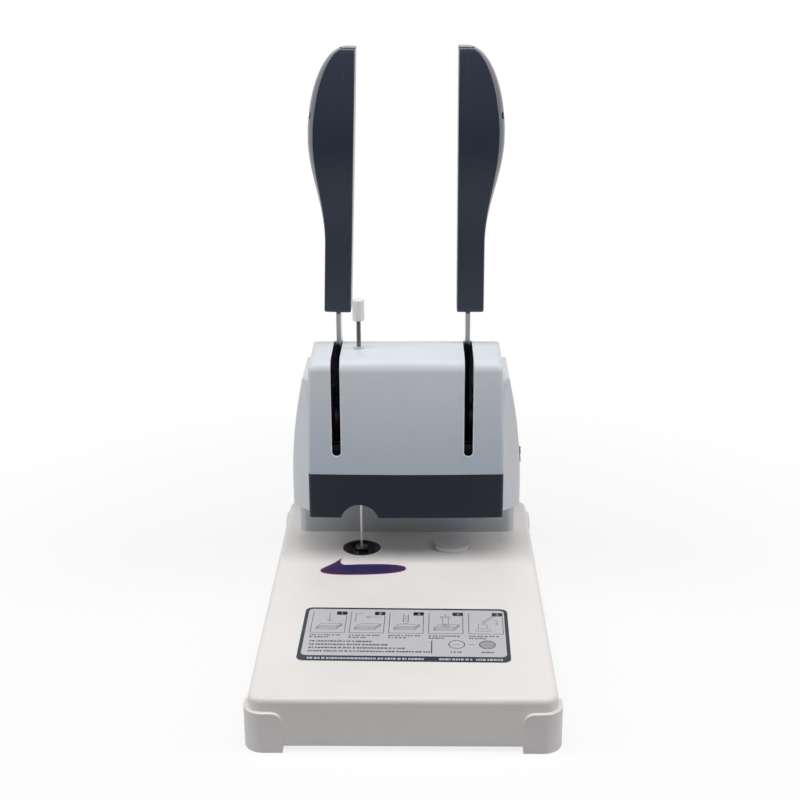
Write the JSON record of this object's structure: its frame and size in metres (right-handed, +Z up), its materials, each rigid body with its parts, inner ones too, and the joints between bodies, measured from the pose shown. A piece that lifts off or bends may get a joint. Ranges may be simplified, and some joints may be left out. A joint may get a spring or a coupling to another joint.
{
  "type": "document riveting machine",
  "caption": "Desktop document riveting machine: long flat base, hooded head with two hand levers, a hollow drill ram on the right and a heated riveting ram on the left.",
  "frame": {"origin": "on the table under the middle of the base", "axes": "+X to the operator's right, +Y away from the operator, +Z up"},
  "size_m": [0.241, 0.393, 0.494],
  "materials": {
    "cream_paint": "satin powder coat",
    "shell_plastic": "satin moulded plastic",
    "dark_plastic": "dark satin plastic",
    "guard_plastic": "matte moulded plastic",
    "grip_plastic": "fine matte grain",
    "frame_steel": "zinc plated",
    "bright_steel": "ground",
    "cast_alloy": "machined",
    "gear_steel": "milled teeth",
    "die_brass": "polished",
    "black_plastic": "matte",
    "white_plastic": "satin nylon",
    "rocker_red": "glossy",
    "board_green": "lacquered",
    "motor_dark": "black enamel",
    "belt_rubber": "matte",
    "spring_steel": "bright drawn wire",
    "rod_steel": "blued"
  },
  "bodies": {
    "machine": {"base_cover": "cream_paint", "base_plate": "frame_steel", "corner_guards": "guard_plastic", "base_screws": "bright_steel", "main_frame": "frame_steel", "head_floor": "frame_steel", "guide_bracket": "cast_alloy", "guide_posts": "bright_steel", "throat_cover": "shell_plastic", "side_cover_left": "shell_plastic", "side_cover_right": "shell_plastic", "front_cover": "shell_plastic", "front_visor": "dark_plastic", "rear_cover": "shell_plastic", "cover_screws": "bright_steel", "power_inlet": "black_plastic", "inlet_pins": "bright_steel", "switch_housing": "black_plastic", "control_board": "board_green", "lower_die": "die_brass", "die_insulator": "black_plastic", "lower_heater": "frame_steel", "pad_seat": "frame_steel", "cross_axle": "bright_steel", "axle_collars": "bright_steel", "rod_bushing": "bright_steel", "rivet_return_spring": "spring_steel", "drill_return_spring": "spring_steel"},
    "rivet_lever": {"rivet_lever_arm": "bright_steel", "rivet_gear_sector": "gear_steel", "rivet_arm_screws": "bright_steel", "rivet_grip_inner": "grip_plastic", "rivet_grip_outer": "grip_plastic", "rivet_grip_screws": "bright_steel"},
    "rivet_ram": {"rivet_carriage": "cast_alloy", "rivet_rack": "gear_steel", "rivet_quill": "bright_steel", "upper_heater": "cast_alloy", "upper_die": "die_brass"},
    "drill_lever": {"drill_lever_arm": "bright_steel", "drill_gear_sector": "gear_steel", "drill_arm_screws": "bright_steel", "drill_grip_inner": "grip_plastic", "drill_grip_outer": "grip_plastic", "drill_grip_screws": "bright_steel"},
    "drill_ram": {"drill_carriage": "cast_alloy", "drill_rack": "gear_steel", "drill_quill": "bright_steel", "spindle_bearings": "die_brass", "drill_motor": "motor_dark", "drive_belt": "belt_rubber"},
    "spindle": {"drill_spindle": "bright_steel", "drill_chuck": "frame_steel", "hollow_drill": "bright_steel"},
    "motor_rotor": {"motor_pulley": "bright_steel"},
    "needle_unit": {"needle": "bright_steel", "guide_rod": "rod_steel", "rod_knob": "white_plastic"},
    "turning_pad": {"drill_pad": "white_plastic"},
    "rocker": {"power_rocker": "rocker_red"}
  },
  "joints": [
    {"name": "rivet_lever_pull", "type": "hinge", "parent": "machine", "child": "rivet_lever", "pos_m": [0, 0.102, 0.158], "axis": [1, 0, 0], "range_deg": [0, 85]},
    {"name": "rivet_ram_slide", "type": "slide", "parent": "machine", "child": "rivet_ram", "axis": [0, 0, -1], "range_m": [0, 0.049], "stiffness_N_per_m": 400, "springref_m": -0.03, "deforming": ["rivet_return_spring"]},
    {"name": "drill_lever_pull", "type": "hinge", "parent": "machine", "child": "drill_lever", "pos_m": [0, 0.102, 0.158], "axis": [1, 0, 0], "range_deg": [0, 85]},
    {"name": "drill_ram_slide", "type": "slide", "parent": "machine", "child": "drill_ram", "axis": [0, 0, -1], "range_m": [0, 0.049], "stiffness_N_per_m": 400, "springref_m": -0.03, "deforming": ["drill_return_spring"]},
    {"name": "motor_spin", "type": "hinge", "parent": "drill_ram", "child": "motor_rotor", "pos_m": [0, 0.077, 0.2], "axis": [0, 0, 1], "continuous": true},
    {"name": "spindle_spin", "type": "hinge", "parent": "drill_ram", "child": "spindle", "pos_m": [0.042, 0.077, 0.18], "axis": [0, 0, 1], "continuous": true},
    {"name": "needle_lift", "type": "slide", "parent": "machine", "child": "needle_unit", "axis": [0, 0, 1], "range_m": [0, 0.03]},
    {"name": "pad_turn", "type": "hinge", "parent": "machine", "child": "turning_pad", "pos_m": [0.042, 0.081, 0.04], "axis": [0, 0, 1], "continuous": true},
    {"name": "power_switch", "type": "hinge", "parent": "machine", "child": "rocker", "pos_m": [0.10251, 0.095, 0.132], "axis": [-0.0615, 0, 0.9981], "range_deg": [0, 16]}
  ],
  "couplings": [
    {"joint": "rivet_ram_slide", "follows": "rivet_lever_pull", "m_per_rad": 0.033},
    {"joint": "drill_ram_slide", "follows": "drill_lever_pull", "m_per_rad": 0.033},
    {"joint": "spindle_spin", "follows": "motor_spin", "ratio": 1}
  ]
}
